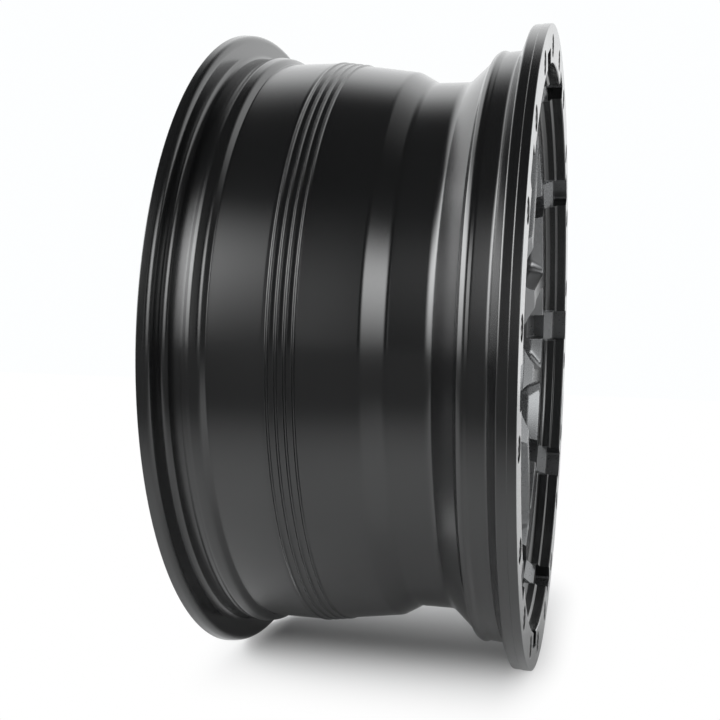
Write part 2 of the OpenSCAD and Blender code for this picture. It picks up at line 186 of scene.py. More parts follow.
def stackOutlines(name, levels):
    # levels is a list of (height, outline): the first is drawn, the others extruded from it
    z, outline = levels[0]
    at = [Vector((p.x, p.y, z)) * mm for p in outline]
    piece = drawLine(name, at)
    for nextZ, nextOutline in levels[1:]:
        goal = [Vector((p.x, p.y, nextZ)) * mm for p in nextOutline]
        rise = Vector((0, 0, (nextZ - z) * mm))
        bpy.ops.mesh.extrude_region_move(TRANSFORM_OT_translate={"value": rise})
        mesh = bmesh.from_edit_mesh(piece.data)
        for v in [v for v in mesh.verts if v.select]:
            k = min(range(len(at)), key=lambda i: (at[i] + rise - v.co).length_squared)
            v.co = goal[k]
        bmesh.update_edit_mesh(piece.data)
        z, at = nextZ, goal
    turnOutwards()
    return piece


def cutterBox(name, low, high):
    # a box between two corners
    low, high = Vector(low) * mm, Vector(high) * mm
    piece = startPiece(name, bpy.ops.mesh.primitive_cube_add, size=1,
                       location=(low + high) / 2, scale=high - low)
    applyPlace(piece)
    return piece


def moveCorners(piece, pick, height):
    # brings the corners for which pick(place) holds to one height, in millimetres
    for v in piece.data.vertices:
        if pick(v.co / mm):
            v.co.z = height * mm


def roundEdges(piece, pick, size, segments=4):
    # rounds the edges for which pick(middle, direction) holds, in millimetres
    activate(piece)
    bpy.ops.object.mode_set(mode="EDIT")
    bpy.ops.mesh.select_mode(type="EDGE")
    bpy.ops.mesh.select_all(action="DESELECT")
    mesh = bmesh.from_edit_mesh(piece.data)
    for e in mesh.edges:
        a, b = (v.co for v in e.verts)
        e.select = pick((a + b) / 2 / mm, (b - a).normalized())
    bmesh.update_edit_mesh(piece.data)
    bpy.ops.mesh.bevel(offset=size * mm, segments=segments, affect="EDGES")
    bpy.ops.mesh.select_mode(type="VERT")
    bpy.ops.object.mode_set(mode="OBJECT")


def dropSlivers(piece):
    # collapses edges and faces too small to see, left by the cuts
    smallest = 2e-6
    activate(piece)
    bpy.ops.object.mode_set(mode="EDIT")
    bpy.ops.mesh.select_all(action="SELECT")
    bpy.ops.mesh.dissolve_degenerate(threshold=smallest)
    bpy.ops.object.mode_set(mode="OBJECT")


def finishPiece(piece):
    # turns a piece's axle from Z to Y, street side towards -Y, smooths it and weights its normals
    piece.matrix_world = (Matrix.Rotation(math.radians(90), 4, "X")
                          @ Matrix.Rotation(math.radians(stanceTurn), 4, "Z"))
    applyPlace(piece)
    activate(piece)
    bpy.ops.object.shade_smooth_by_angle(angle=math.radians(smoothUpTo))
    weigh = piece.modifiers.new("weigh", "WEIGHTED_NORMAL")
    weigh.keep_sharp = True
    bpy.ops.object.modifier_apply(modifier=weigh.name)
    return piece


castWheel = {
    "rim": {"face": 113.6, "back": -113.6, "flangeR": 235.8, "beadR": 218.3, "seatTaper": 5.0,
            "flangeWide": 12.0, "flangeLean": 22.0, "flangeFillet": 3.0, "flangeStep": 0.4,
            "flangeStepAt": 5.4, "humpAt": 33.8, "humpHigh": 1.2, "backFlangeWide": 8.7, "backTopIn": 0.9,
            "barrelR": 213.4, "barrelFrontR": 205.4, "wellR": 197.3, "shelfR": 213.0, "wall": 6.6,
            "slopeAt": 130.0, "wellAt": 144.5, "wellEnd": 56.5, "shelfAt": 38.8,
            "ribCount": 4, "ribAt": 74.6, "ribLead": 3.0, "ribPitch": 5.4, "ribHigh": 1.0, "ribWide": 2.8,
            "ringR": 209.0, "ringEdge": 8.1, "lipR": 207.5, "lipStep": 1.3, "lipDepth": 19.0,
            "lipFillet": 5.0, "windowR": 187.0, "windowLowR": 182.5, "windowBevelEnd": 31.0,
            "spinSteps": 180},
    "hub": {"padZ": 35.0, "padR": 76.0, "padEdge": 5.4, "faceDepth": 34.0, "faceR": 83.0, "turnR": 99.0,
            "skirtR": 88.0, "skirtDeep": 7.0, "bossDepth": 30.0, "bossR": 40.0, "capR": 33.3,
            "capSeatDeep": 8.0, "capHoleR": 29.5, "legGrooveAt": (25.0, 31.0), "legGrooveDeep": 2.0,
            "boreR": 36.55, "boreLong": 22.0, "boreEdge": 1.5, "rearR": 113.0, "rearAt": 16.0,
            "pocketIn": 9.0, "pocketOut": 8.0, "pocketTurns": (15, 12), "pocketDeep": 14.0},
    "spoke": {"pairs": 5, "gap": 21.6, "splay": 7.3, "faceWide": 11.0, "bevelIn": 9.0, "bevelOut": 3.5,
              "bevelDeep": 9.0, "draft": 3.0, "cornerR": 9.0, "hubEndIn": 84.5, "hubEndOut": 85.0,
              "backDeep": 47.0, "grooveWide": 11.0, "grooveDeep": 13.0, "grooveIn": 16.0, "grooveOut": 11.0,
              "grooveInBase": 14.0, "grooveOutBase": 2.0, "grooveFillet": 3.0},
    "notch": {"count": 10, "wide": 27.0, "rampWide": 25.0, "reach": 11.0, "deep": 11.5, "corner": 1.6,
              "channelWide": 22.0, "channelCut": 15.0, "channelEnd": 28.5, "channelSlope": 5.5,
              "channelCorner": 3.0},
    "boltSeat": {"count": 20, "circleR": 220.5, "wide": 16.0, "deep": 3.4, "steps": 40},
    "lug": {"count": 5, "circleD": 114.3, "holeD": 14.6, "pocketD": 30.0, "floor": 16.0, "coneWide": 5.0,
            "coneAngle": 60.0, "steps": 64},
    "valve": {"turn": -108, "holeD": 11.3, "seatD": 20.0, "wall": 5.0, "slopeTop": 38.6, "slopeFoot": 55.0,
              "steps": 48},
}
rim, hub, spoke, notch, boltSeat, lug, valve = castWheel.values()
clear = 40  # cutters end this far outside the metal


def frontFlange():
    # flange with a leaning side and a small step, bead seat and hump:
    # each corner is (radius, distance from the face, fillet)
    b, h = rim["beadR"], rim["humpAt"]
    topR, stepAt = rim["flangeR"] - rim["flangeStep"], rim["flangeStepAt"]
    lean, fillet = math.radians(rim["flangeLean"]), rim["flangeFillet"]
    foot = rim["flangeWide"] + (topR - b) * math.tan(lean)
    seatAt = foot + fillet * math.tan(math.pi / 4 - lean / 2)
    crest = b - math.tan(math.radians(rim["seatTaper"])) * (h - 2.6 - seatAt) + rim["humpHigh"]
    return [(rim["flangeR"], 0, 0.6), (rim["flangeR"], stepAt, 0.2),
            (topR, stepAt + rim["flangeStep"], 0.2), (topR, rim["flangeWide"], 1.6), (b, foot, fillet),
            (crest - 1.3, h - 3.4, 3), (crest + 0.15, h - 0.2, 2.6), (crest - 1.9, h + 3.6, 3)]


def backFlange():
    # the seat rises in small steps to its hump, which falls steeply to the barrel;
    # distances run from the back
    b, w = rim["beadR"], rim["backFlangeWide"]
    return [(rim["flangeR"], 0, 0.6), (rim["flangeR"] - rim["backTopIn"], w, 6.5), (b - 1.0, w, 4.5),
            (b - 0.25, 20.8, 2), (b, 22.6, 2), (b + 0.1, 24.6, 2), (b + 0.5, 27.0, 3), (b - 0.7, 32.6, 4.5),
            (rim["barrelR"], 36.0, 1.2)]


def ribs(taperAt):
    # fine ribs on the tapered part of the barrel, steeper towards the street side
    h, w = rim["ribHigh"], rim["ribWide"]
    taper = (rim["barrelR"] - rim["barrelFrontR"]) / (rim["slopeAt"] - taperAt)
    corners = []
    for i in range(rim["ribCount"]):
        s = rim["ribAt"] + i * rim["ribPitch"]
        r = rim["barrelR"] - taper * (s - taperAt)
        corners += [(r, s - w / 2, 0.8), (r + h, s + w * 0.05, 0.5), (r + h, s + w * 0.18, 0.4),
                    (r, s + w * 0.42, 0.4)]
    return corners


def wheelProfile():
    # once around the section: tyre side, street side, bore and vehicle side
    face, back, wall, pad = rim["face"], rim["back"], rim["wall"], hub["padZ"]
    barrel, barrelFront, well = rim["barrelR"], rim["barrelFrontR"], rim["wellR"]
    inset = 3  # at the barrel's slope the wall's inner side turns this much nearer to the back
    taperAt = rim["ribAt"] - rim["ribLead"]  # the barrel narrows from a little before the first rib
    tyreSide = [(r, back + s, f) for r, s, f in backFlange() + [(barrel, taperAt, 8)] + ribs(taperAt)]
    tyreSide += [(barrelFront, back + rim["slopeAt"], 8), (well, back + rim["wellAt"] - 0.6, 8),
                 (well, face - rim["wellEnd"], 9), (rim["shelfR"], face - rim["shelfAt"], 5)]
    tyreSide += [(r, face - s, f) for r, s, f in frontFlange()][::-1]
    led, hubFace, boss = face - rim["lipDepth"], face - hub["faceDepth"], face - hub["bossDepth"]
    street = [(rim["ringR"], face, 1.0), (rim["ringR"], face - rim["ringEdge"], 0.5),
              (rim["lipR"], face - rim["ringEdge"] - rim["lipStep"], 0.8),
              (rim["lipR"], led, rim["lipFillet"]), (hub["turnR"], led, 3),
              (hub["skirtR"], led - hub["skirtDeep"], 2.5),
              (hub["faceR"] - 0.2, hubFace, 2), (hub["bossR"] + 1.2, hubFace, 0.5),
              (hub["bossR"], boss - 0.3, 1), (hub["bossR"] - 0.6, boss, 0.5), (hub["capR"], boss, 0.4)]
    capSeat, hole, bore = boss - hub["capSeatDeep"], hub["capHoleR"], hub["boreR"]
    grooveR = hole + hub["legGrooveDeep"]
    low, high = hub["legGrooveAt"]
    holes = [(hub["capR"], capSeat, 0), (hole, capSeat, 0.3), (hole, pad + high, 0),
             (grooveR, pad + high, 0), (grooveR, pad + low, 0), (hole, pad + low, 0),
             (hole, pad + hub["boreLong"], 0.4),
             (bore, pad + hub["boreLong"], 0), (bore, pad + hub["boreEdge"], 0.3),
             (bore + hub["boreEdge"], pad, 0.3)]
    spokeBack = face - spoke["backDeep"]
    rear = [(hub["padR"], pad, 0.8), (hub["faceR"], pad + hub["padEdge"], 5),
            (hub["rearR"], pad + hub["rearAt"], 18), (rim["windowLowR"] - 8, spokeBack - 1, 6),
            (rim["windowLowR"] - 0.5, spokeBack - 0.3, 3), (well - wall, face - rim["wellEnd"], 4),
            (well - wall, back + rim["wellAt"] - inset, 4),
            (barrelFront - wall, back + rim["slopeAt"] - inset, 4),
            (barrel - wall, back + taperAt, 10), (barrel - wall, back + 40, 4),
            (rim["beadR"] - wall - 1.8, back + 25, 8), (rim["beadR"] - wall - 1.4, back + 11, 8),
            (rim["flangeR"] - 7.4, back, 1.6)]
    return roundedLine(tyreSide + street + holes + rear)


def windowOutline(wide, grow, hubEnd, cornerR, outerR):
    # half of a window and its mirror image, with the window's middle line along +X: a round end at the
    # hub, a side that stands grow beyond the spoke's flat, a round corner and the wall at the ring
    endSteps, cornerSteps, wallSteps = 12, 8, 12
    splay = math.radians(spoke["splay"])
    middle = spoke["gap"] * math.cos(splay)
    lean = math.radians(180 / spoke["pairs"]) - splay if wide else splay
    base = (-middle if wide else middle) - (spoke["faceWide"] / 2 + grow)
    slope, cosLean = math.sin(lean), math.cos(lean)
    c = (hubEnd + base) / (1 - slope)
    upper = [onCircle(slope * c + base, math.pi - (math.pi / 2 - lean) * k / endSteps, c)
             for k in range(endSteps + 1)]
    reach = outerR - cornerR
    f, g = slope / cosLean, (base - cornerR) / cosLean
    x = (-f * g + math.sqrt((f * g) ** 2 - (1 + f * f) * (g * g - reach * reach))) / (1 + f * f)
    y = f * x + g
    start, end = math.pi / 2 + lean, math.atan2(y, x)
    upper += [onCircle(cornerR, start + (end - start) * k / cornerSteps, x, y)
              for k in range(cornerSteps + 1)]
    upper += [onCircle(outerR, end * (1 - k / wallSteps)) for k in range(1, wallSteps + 1)]
    return upper + [Vector((p.x, -p.y)) for p in upper[1:-1]][::-1]


def windowCutter(wide, hubEnd):
    # levels run from below the pad to above the ring: (depth, growth of the sides, corner, outer radius);
    # those from top + 1.6 to top round the sunk face's edge over, and the last ends above the ring
    bevel = spoke["bevelOut"] if wide else spoke["bevelIn"]
    top, deep, corner = rim["lipDepth"], spoke["bevelDeep"], spoke["cornerR"]
    padDeep = rim["face"] - hub["padZ"]
    draft = spoke["draft"] / (padDeep - top - deep)
    r, lowR, end = rim["windowR"], rim["windowLowR"], rim["windowBevelEnd"]
    slope = (r - lowR) / (end - top - 1)
    levels = [(padDeep + 10, bevel + draft * (padDeep + 10 - top - deep), corner, lowR),
              (end, bevel + draft * (end - top - deep), corner, lowR),
              (top + deep, bevel, corner, lowR + slope * (end - top - deep)),
              (top + 1.6, bevel * 1.6 / deep, corner - 2.0, r - 0.25),
              (top + 0.5, bevel * 0.4 / deep, corner - 2.4, r + 0.35),
              (top, -0.2, corner - 2.5, r + 1.3),
              (top - 2, -0.6, corner - 2.6, r + 4),
              (top - 26, -0.6, corner - 2.6, r + 4)]
    return stackOutlines("windowCutter", [(rim["face"] - d, windowOutline(wide, grow, hubEnd, c, outerR))
                                          for d, grow, c, outerR in levels])


def radialBar(name, wide, points):
    # a bar across the wheel's radius from points (radius, depth below the ring's face)
    piece = drawLine(name, [Vector((r, -wide / 2, rim["face"] - deep)) * mm for r, deep in points])
    bpy.ops.mesh.extrude_region_move(TRANSFORM_OT_translate={"value": (0, wide * mm, 0)})
    turnOutwards()
    return piece


def notchSlot():
    half = notch["wide"] / 2
    piece = cutterBox("notchSlot", (rim["lipR"] - 6, -half, rim["face"] - notch["deep"]),
                      (rim["ringR"] + notch["reach"], half, rim["face"] + 5))
    roundEdges(piece, lambda m, d: abs(d.z) > 0.9 and m.x > rim["ringR"], notch["corner"])
    return piece


def notchRamps():
    # the ramp below a notch: a bar that fills the fillet, and a cut that carries its slope up into the lip
    lip, top, deep = rim["lipR"], rim["lipDepth"], notch["deep"]
    middle = (lip - 0.1, top - rim["lipFillet"] - 0.3)
    foot = (lip - rim["lipFillet"] - 0.4, top + 0.3)
    slope = (middle[0] - foot[0]) / (foot[1] - middle[1])
    head = (middle[0] + slope * (middle[1] - deep), deep)
    wide = notch["rampWide"]
    fill = radialBar("rampFill", wide, [(lip + 2, middle[1]), middle, foot, (lip + 2, foot[1])])
    cut = radialBar("rampCut", wide, [(lip - 3, deep - 1), (head[0], deep - 1), head, middle,
                                      (lip - 3, middle[1])])
    return fill, cut


def channelCutter():
    # the channel in the window wall: flat floor, sloped end, rounded lower corners
    half, outerR = notch["channelWide"] / 2, rim["windowR"] + notch["channelCut"]
    led, end = rim["face"] - rim["lipDepth"], rim["face"] - notch["channelEnd"]
    piece = cutterBox("notchChannel", (rim["windowLowR"] - 4, -half, end - notch["channelSlope"]),
                      (outerR, half, led + 4))
    moveCorners(piece, lambda p: p.z < end and p.x > outerR - 1, end)
    roundEdges(piece, lambda m, d: abs(d.y) < 0.5 and m.z < led and abs(d.z) < 0.98, notch["channelCorner"])
    return piece


def boltSeatCutter():
    r, floor = boltSeat["wide"] / 2, -boltSeat["deep"]
    corners = [(0, floor, 0), (r, floor, 0.5), (r, 0, 0.5), (r + 3, 0.05, 0), (r + 3, 4, 0), (0, 4, 0)]
    return turnedCutter("boltSeat", corners, boltSeat["steps"],
                        Matrix.Translation((boltSeat["circleR"] * mm, 0, rim["face"] * mm)))


def lugCutter():
    # stud hole with a conical nut seat at the floor of a deep pocket
    top = rim["face"] - hub["faceDepth"] - hub["padZ"]
    hole, pocket, floor = lug["holeD"] / 2, lug["pocketD"] / 2, lug["floor"]
    coneTop = floor + lug["coneWide"] / math.tan(math.radians(lug["coneAngle"] / 2))
    corners = [(0, -2, 0), (hole, -2, 0), (hole, floor, 0.4), (hole + lug["coneWide"], coneTop, 0.4),
               (pocket, coneTop, 1.2), (pocket, top, 0.3), (pocket + 0.5, top + 0.05, 0),
               (pocket + 0.5, top + clear, 0), (0, top + clear, 0)]
    return turnedCutter("lugCutter", corners, lug["steps"],
                        Matrix.Translation((lug["circleD"] / 2 * mm, 0, hub["padZ"] * mm)))


def padPocketCutter():
    # pocket between two stud holes in the mounting face
    outerTurn, innerTurn = hub["pocketTurns"]
    outerR, innerR = hub["padR"] - hub["pocketOut"], hub["boreR"] + hub["pocketIn"]
    points = [onCircle(outerR, math.radians(-outerTurn + 2 * outerTurn * k / 6)) for k in range(7)]
    points += [onCircle(innerR, math.radians(innerTurn - 2 * innerTurn * k / 4)) for k in range(5)]
    return stackOutlines("padPocket", [(hub["padZ"] - 2, points),
                                       (hub["padZ"] + hub["pocketDeep"], points)])


def valveCutter():
    # valve hole square to the slope between well and shelf, with a flat seat on its tyre side
    shelf, well = rim["shelfR"], rim["wellR"]
    top, foot = rim["face"] - valve["slopeTop"], rim["face"] - valve["slopeFoot"]
    lean = math.atan2(shelf - well - 2.4, top - foot - 2.8)
    place = (Matrix.Translation(((well + shelf) / 2 * mm, 0, (top + foot) / 2 * mm))
             @ Matrix.Rotation(lean - math.pi / 2, 4, "Y"))
    r, seat, wall = valve["holeD"] / 2, valve["seatD"] / 2, valve["wall"]
    corners = [(0, -5, 0), (r + 1, -5, 0), (r + 1, -0.6, 0), (r, 0.4, 0.3), (r, wall, 0.4),
               (seat, wall, 0.8), (seat, clear, 0), (0, clear, 0)]
    return turnedCutter("valveCutter", corners, valve["steps"], place)


def grooveCutter():
    # groove along a spoke's back, its floor following the sloped back; +X along the spoke. Its depth counts
    # from a line that starts over the pad's plane and ends a little behind the spoke's back
    middle = (spoke["bevelOut"] - spoke["bevelIn"]) / 2
    half, deep = spoke["grooveWide"] / 2, spoke["grooveDeep"]
    start, end = hub["faceR"] + spoke["grooveIn"], rim["windowR"] - spoke["grooveOut"]
    floor = hub["padZ"] + spoke["grooveInBase"] + deep
    outerFloor = rim["face"] - spoke["backDeep"] + deep - spoke["grooveOutBase"]
    piece = cutterBox("spokeGroove", (start, middle - half, hub["padZ"] - 15), (end, middle + half, floor))
    moveCorners(piece, lambda p: p.z > floor - 1 and p.x > end - 1, outerFloor)
    roundEdges(piece, lambda m, d: abs(d.y) < 0.9 and m.z > hub["padZ"] * 0.6, spoke["grooveFillet"], 3)
    return piece


def onEachSpoke(piece):
    # copies a piece made along +X onto both spokes of every pair
    place = (Matrix.Translation((0, spoke["gap"] * mm, 0))
             @ Matrix.Rotation(math.radians(spoke["splay"]), 4, "Z"))
    copies = []
    for side in (1, -1):
        activate(piece)
        bpy.ops.object.duplicate()
        copy = bpy.context.object
        copy.matrix_world = Matrix.Diagonal((1, side, 1, 1)) @ place
        applyPlace(copy)
        if side < 0:
            bpy.ops.object.mode_set(mode="EDIT")
            turnOutwards()
        copies.append(copy)
    bpy.data.objects.remove(piece)
    return copyAround(joined(copies), spoke["pairs"])


def isCentre(middle, normal):
    # the gunmetal part: the notches with their ramps, all inside the lip, and the inside of the barrel
    r = math.hypot(middle.x, middle.y)
    deep = rim["face"] - middle.z
    turn = 2 * math.pi / notch["count"]
    across = abs(math.remainder(math.atan2(middle.y, middle.x), turn)) * r
    if across < notch["wide"] / 2 and r > rim["lipR"] - 6 and deep > 0.1:
        inSlot = deep < notch["deep"] + 0.2 and r < rim["ringR"] + notch["reach"] + 0.5
        if inSlot or (deep < notch["channelEnd"] + notch["channelSlope"] and r < rim["ringR"] + 1):
            return True
    onLip = r > rim["lipR"] - rim["lipFillet"] - 0.1 and deep < rim["lipDepth"] + 0.1
    if onLip or r > rim["beadR"] - 7:
        return False
    outwards = (normal.x * middle.x + normal.y * middle.y) / max(r, 1)
    return not (outwards > 0.05 and r > rim["wellR"] - 2 and deep > 30)


def markCentre(wheel):
    # one number on each face: 1 where the gunmetal paint is, 0 where the black is
    mark = wheel.data.attributes.new("centre", "FLOAT", "FACE")
    for face in wheel.data.polygons:
        mark.data[face.index].value = float(isCentre(face.center / mm, face.normal))


def buildWheel():
    wheel = spinProfile("castWheel", wheelProfile(), rim["spinSteps"])
    pairs, studs = spoke["pairs"], lug["count"]
    print("stage: windows")
    combine(wheel, joined([copyAround(windowCutter(False, spoke["hubEndIn"]), pairs),
                           copyAround(windowCutter(True, spoke["hubEndOut"]), pairs, 180 / pairs)]))
    print("stage: notches and holes")
    fill, cut = notchRamps()
    combine(wheel, copyAround(fill, notch["count"]), "UNION")
    for tool in (notchSlot(), cut, channelCutter()):
        combine(wheel, copyAround(tool, notch["count"]))
    combine(wheel, copyAround(boltSeatCutter(), boltSeat["count"], 180 / boltSeat["count"]))
    combine(wheel, joined([copyAround(lugCutter(), studs),
                           copyAround(padPocketCutter(), studs, 180 / studs),
                           copyAround(valveCutter(), 1, valve["turn"])]))
    combine(wheel, onEachSpoke(grooveCutter()))
    dropSlivers(wheel)
    markCentre(wheel)
    return wheel


ringBolt = {"headD": 13.0, "headHigh": 3.0, "headSide": 0.42, "domeTurn": 75, "domeSteps": 5, "flatR": 2.9,
            "shankD": 5.8, "shankLong": 5.6, "pitch": 1.0, "threadDeep": 0.45, "socket": 4.6,
            "socketDeep": 2.0, "steps": 32}


def buildRingBolts():
    # button-head screws: threaded shank, domed head, six-sided socket
    b = ringBolt
    r, shank, pitch, high = b["headD"] / 2, b["shankD"] / 2, b["pitch"], b["headHigh"]
    core, foot = shank - b["threadDeep"], -b["shankLong"]
    line = [(0, foot, 0), (core, foot, 0)]
    z = foot + pitch / 2
    while z < -pitch:
        line += [(shank, z + pitch / 2, 0), (core, z + pitch, 0)]
        z += pitch
    line += [(shank, 0, 0), (r, 0, 0.15), (r, high * b["headSide"], 0.5)]
    for k in range(1, b["domeSteps"] + 1):
        t = math.radians(b["domeTurn"] * k / b["domeSteps"])
        rise = (1 - b["headSide"]) * math.sin(t) / math.sin(math.radians(b["domeTurn"]))
        line.append((r - 0.2 - (r - b["flatR"]) * (1 - math.cos(t)), high * (b["headSide"] + rise), 0))
    line.append((0, high, 0))
    piece = spinProfile("ringBolts", roundedLine(line), b["steps"], closed=False)
    socket = startPiece("socket", bpy.ops.mesh.primitive_cylinder_add, vertices=6,
                        radius=b["socket"] / 2 * mm, depth=2 * b["socketDeep"] * mm,
                        location=(0, 0, high * mm))
    applyPlace(socket)
    combine(piece, socket)
    piece.matrix_world = Matrix.Translation((boltSeat["circleR"] * mm, 0,
                                             (rim["face"] - boltSeat["deep"]) * mm))
    applyPlace(piece)
    return copyAround(piece, boltSeat["count"], 180 / boltSeat["count"], "ringBolts")


cap = {"top": 83.6, "seat": 75.6, "r": 33.0, "legR": 29.2, "legInR": 26.2, "hook": 1.4, "hookTop": 65.7,
       "legEnd": 60.6, "wireAt": 63.5, "wireD": 2.0, "wireDeep": 0.9, "legs": 6, "legWide": 12.0,
       "dome": 2.0, "domeR": 28.0, "domeSteps": 8, "rimHigh": 0.6, "steps": 128}


def buildCentreCap():
    # cap face with a fine groove around a low dome, and snap legs behind it
    top, seat, r, inner, outer = cap["top"], cap["seat"], cap["r"], cap["legInR"], cap["legR"]
    rimTop, domeFoot = top + cap["rimHigh"], 0.7
    line = [(0, top - 3.5, 0), (24.2, top - 4.5, 1.5), (inner, seat, 0.4), (r, seat, 0.3),
            (r, top - 0.4, 1.4), (29.6, rimTop, 0.5), (29.0, top - 0.1, 0.2), (28.4, rimTop, 0.4)]
    for k in range(cap["domeSteps"]):
        p = (cap["domeR"] - 1) * (1 - k / cap["domeSteps"])
        line.append((p, top + domeFoot + (cap["dome"] - domeFoot) * (1 - (p / cap["domeR"]) ** 2), 0))
    line.append((0, top + cap["dome"], 0))
    face = spinProfile("centreCap", roundedLine(line), cap["steps"], closed=False)
    half, grooveR = cap["wireD"] / 2 + 0.1, inner + cap["wireDeep"]
    low, high = cap["wireAt"] - half, cap["wireAt"] + half
    end, hookR, hookTop = cap["legEnd"], outer + cap["hook"], cap["hookTop"]
    leg = [(inner, seat + 1, 0), (inner, high, 0), (grooveR, high, 0), (grooveR, low, 0), (inner, low, 0),
           (inner, end, 0.3), (outer - 1, end, 0.3), (hookR, hookTop - 1.2, 0.3), (hookR, hookTop, 0.2),
           (outer, hookTop, 0), (outer, seat + 1, 0)]
    legs = spinProfile("capLegs", roundedLine(leg), cap["steps"])
    side = cap["legWide"] / 2
    slices = copyAround(cutterBox("legSlice", (5, -side, end - 5), (r + 9, side, top)), cap["legs"])
    combine(legs, slices, "INTERSECT", "EXACT")
    combine(face, legs, "UNION")
    return face


class Wire:
    # one output in a material's node tree; sums and products of wires and numbers add Math nodes
    def __init__(self, tree, socket=None):
        self.tree = tree
        self.socket = socket

    def node(self, kind, values=None, output=0, **settings):
        made = self.tree.nodes.new(kind)
        for name, value in settings.items():
            setattr(made, name, value)
        for key, value in (values or {}).items():
            if isinstance(value, Wire):
                self.tree.links.new(value.socket, made.inputs[key])
            else:
                made.inputs[key].default_value = value
        return Wire(self.tree, made.outputs[output] if made.outputs else None)

    def maths(self, operation, a, b=0.0):
        return self.node("ShaderNodeMath", {0: a, 1: b}, operation=operation)

    def __add__(self, other):
        return self.maths("ADD", self, other)

    def __sub__(self, other):
        return self.maths("SUBTRACT", self, other)

    def __rsub__(self, other):
        return self.maths("SUBTRACT", other, self)

    def __mul__(self, other):
        return self.maths("MULTIPLY", self, other)

    def __truediv__(self, other):
        return self.maths("DIVIDE", self, other)

    def __pow__(self, other):
        return self.maths("POWER", self, other)

    __radd__ = __add__
    __rmul__ = __mul__

    def step(self, low, high):
        return self.node("ShaderNodeMapRange", {"Value": self, "From Min": low, "From Max": high},
                         interpolation_type="SMOOTHSTEP")

    def band(self, rise, fall):
        # rises to 1 over one range and falls back to 0 over the other
        return self.step(*rise) * (1 - self.step(*fall))

    def axes(self):
        return [self.node("ShaderNodeSeparateXYZ", {0: self}, output=i) for i in range(3)]

    def noise(self, size, detail):
        return self.node("ShaderNodeTexNoise", {"Vector": self, "Scale": size, "Detail": detail})

    def blend(self, first, second):
        # colours mixed by this wire
        return self.node("ShaderNodeMix", {0: self, 6: first, 7: second}, output=2, data_type="RGBA")


def grey(value, warm=0.0):
    return (value * (1 + warm), value, value * (1 - warm), 1)


def newMaterial(name):
    # the material, its node tree and the place in the piece
    material = bpy.data.materials.new(name)
    material.use_nodes = True
    material.node_tree.nodes.clear()
    w = Wire(material.node_tree)
    return material, w, w.node("ShaderNodeTexCoord", output="Object")


def surface(w, look, height, **sockets):
    # a plain shader with a fine bump over edges that are rounded in the shading alone
    edges = w.node("ShaderNodeBevel", {"Radius": look["edge"] * mm}, samples=4)
    bump = w.node("ShaderNodeBump", {"Strength": look["bump"], "Distance": look["bumpHigh"] * mm,
                                     "Height": height, "Normal": edges})
    values = {name.replace("_", " "): value for name, value in sockets.items()}
    shader = w.node("ShaderNodeBsdfPrincipled", {"Normal": bump, **values})
    w.node("ShaderNodeOutputMaterial", {"Surface": shader})


def putOn(piece, material):
    piece.data.materials.clear()
    piece.data.materials.append(material)


patches = (0.3, 0.7)  # the noise levels between which a cloudy colour changes

paint = {"base": 0.004, "rough": 0.2, "specular": 1.0, "mottleSize": 9.0, "grainSize": 700.0,
         "lineSize": 420.0, "bump": 0.1, "bumpHigh": 0.02, "edge": 0.5, "centreBase": 0.17,
         "centreMetal": 0.85, "centreRough": 0.28}


def wheelPaint():
    # satin black rim and ring, gunmetal centre: faint mottle, fine grain and faint turning lines
    material, w, place = newMaterial("wheelPaint")
    centre = w.node("ShaderNodeAttribute", attribute_name="centre", output=2)
    x, y, z = place.axes()
    radius = (x * x + z * z) ** 0.5
    mottle = place.noise(paint["mottleSize"], 3.0)
    grain = place.noise(paint["grainSize"], 1.0)
    lines = w.node("ShaderNodeCombineXYZ", {"X": y, "Y": radius * 0.35}).noise(paint["lineSize"], 2.0)
    cloud = mottle.step(*patches)
    black = cloud.blend(grey(paint["base"], -0.05), grey(paint["base"] * 1.35, -0.03))
    metal = cloud.blend(grey(paint["centreBase"], -0.02), grey(paint["centreBase"] * 1.1, -0.01))
    rough = mottle * 0.06 + grain * 0.05 + (paint["rough"] - 0.055)
    surface(w, paint, grain * 0.5 + lines * 0.5, Base_Color=centre.blend(black, metal),
            Metallic=centre * paint["centreMetal"], Specular_IOR_Level=paint["specular"],
            Roughness=rough + centre * (paint["centreRough"] - paint["rough"]))
    return material


steel = {"cloudSize": 160.0, "grainSize": 2600.0, "bump": 0.2, "bumpHigh": 0.05, "edge": 0.15,
         "metal": 0.85, "boltBase": 0.03, "boltRough": 0.34, "wireBase": 0.35, "wireRough": 0.3}


def blackenedSteel(name, base, rough):
    material, w, place = newMaterial(name)
    cloud = place.noise(steel["cloudSize"], 3.0)
    surface(w, steel, place.noise(steel["grainSize"], 2.0), Metallic=steel["metal"],
            Base_Color=cloud.step(*patches).blend(grey(base), grey(base * 1.5, 0.03)),
            Roughness=cloud * 0.12 + (rough - 0.06))
    return material


plastic = {"base": 0.007, "light": 0.0095, "rough": 0.24, "specular": 0.7, "pitSize": 1500.0,
           "cloudSize": 60.0, "bump": 0.25, "bumpHigh": 0.06, "edge": 0.25}


def mouldedPlastic():
    material, w, place = newMaterial("capPlastic")
    pits = place.noise(plastic["pitSize"], 3.0)
    cloud = place.noise(plastic["cloudSize"], 2.0)
    surface(w, plastic, pits,
            Base_Color=cloud.step(*patches).blend(grey(plastic["base"]), grey(plastic["light"])),
            Roughness=cloud * 0.08 + pits * 0.05 + plastic["rough"], Specular_IOR_Level=plastic["specular"])
    return material


stage = {"size": 12.0, "white": 0.95, "mirroredDark": 0.18, "darkFrom": (0.25, 0.63), "shadowAt": 0.1,
         "shadowLong": 0.08, "shadowHalf": 0.09, "sideFade": 4, "shadowFade": 0.2}


